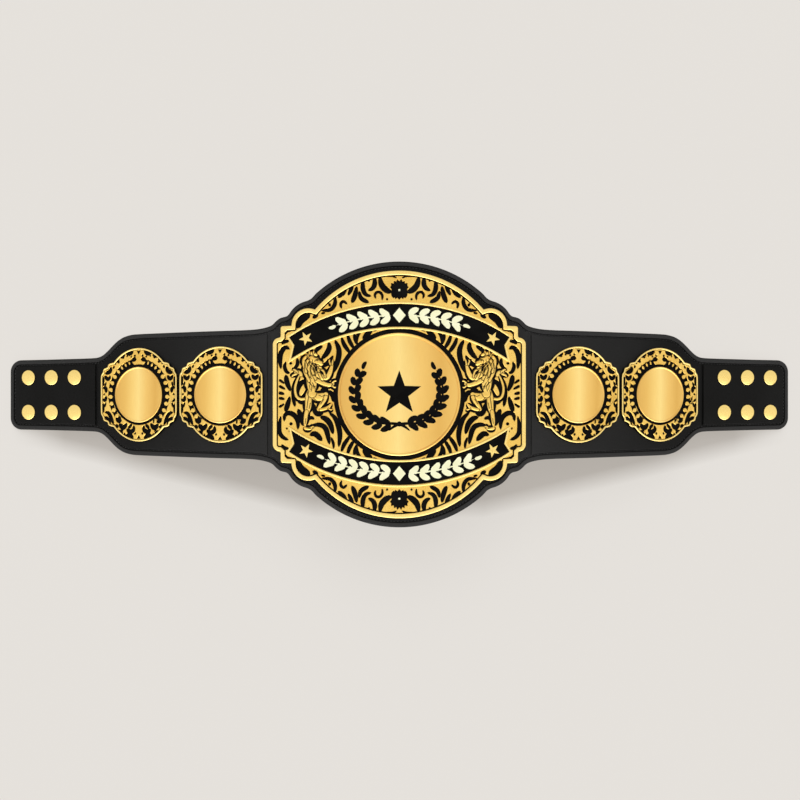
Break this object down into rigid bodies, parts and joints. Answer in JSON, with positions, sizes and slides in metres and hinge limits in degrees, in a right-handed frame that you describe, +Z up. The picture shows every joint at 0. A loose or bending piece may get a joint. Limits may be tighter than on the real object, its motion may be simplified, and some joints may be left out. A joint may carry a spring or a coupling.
{
  "type": "championship title belt",
  "caption": "Arched leather title belt with a large pierced plate, smaller side plates, raised leather panels and snap tabs, lying face up on its ends.",
  "frame": {"origin": "on the ground below the middle of the main plate, halfway between the two ends that the belt rests on", "axes": "+X along the belt, +Y across it towards the upper edge of the plates, +Z up, out of the front of the main plate"},
  "size_m": [0.8582, 0.2678, 0.1186],
  "materials": {
    "black_leather": "smooth black leather with a soft sheen",
    "black_enamel": "black enamel on metal",
    "polished_gold": "gold plated, satin cast relief",
    "brushed_gold": "gold plated, fine vertical brushing",
    "snap_gold": "gold plated, polished caps"
  },
  "bodies": {
    "root": {"strap": "black_leather", "center_panel": "black_leather", "left_side_panel": "black_leather", "left_tab_panel": "black_leather", "right_side_panel": "black_leather", "right_tab_panel": "black_leather", "main_plate": "black_enamel", "main_rim": "polished_gold", "main_scrollwork": "polished_gold", "center_disc": "brushed_gold", "top_banner_frame": "polished_gold", "top_banner_field": "black_enamel", "left_top_star": "polished_gold", "right_top_star": "polished_gold", "bottom_banner_frame": "polished_gold", "bottom_banner_field": "black_enamel", "left_bottom_star": "polished_gold", "right_bottom_star": "polished_gold", "left_lion": "polished_gold", "right_lion": "polished_gold", "left_inner_plate": "black_enamel", "left_inner_rim": "polished_gold", "left_inner_scrollwork": "polished_gold", "left_inner_disc": "brushed_gold", "left_outer_plate": "black_enamel", "left_outer_rim": "polished_gold", "left_outer_scrollwork": "polished_gold", "left_outer_disc": "brushed_gold", "right_inner_plate": "black_enamel", "right_inner_rim": "polished_gold", "right_inner_scrollwork": "polished_gold", "right_inner_disc": "brushed_gold", "right_outer_plate": "black_enamel", "right_outer_rim": "polished_gold", "right_outer_scrollwork": "polished_gold", "right_outer_disc": "brushed_gold", "left_top_snap_1": "snap_gold", "left_top_snap_2": "snap_gold", "left_top_snap_3": "snap_gold", "left_bottom_snap_1": "snap_gold", "left_bottom_snap_2": "snap_gold", "left_bottom_snap_3": "snap_gold", "right_top_snap_1": "snap_gold", "right_top_snap_2": "snap_gold", "right_top_snap_3": "snap_gold", "right_bottom_snap_1": "snap_gold", "right_bottom_snap_2": "snap_gold", "right_bottom_snap_3": "snap_gold"}
  },
  "joints": []
}
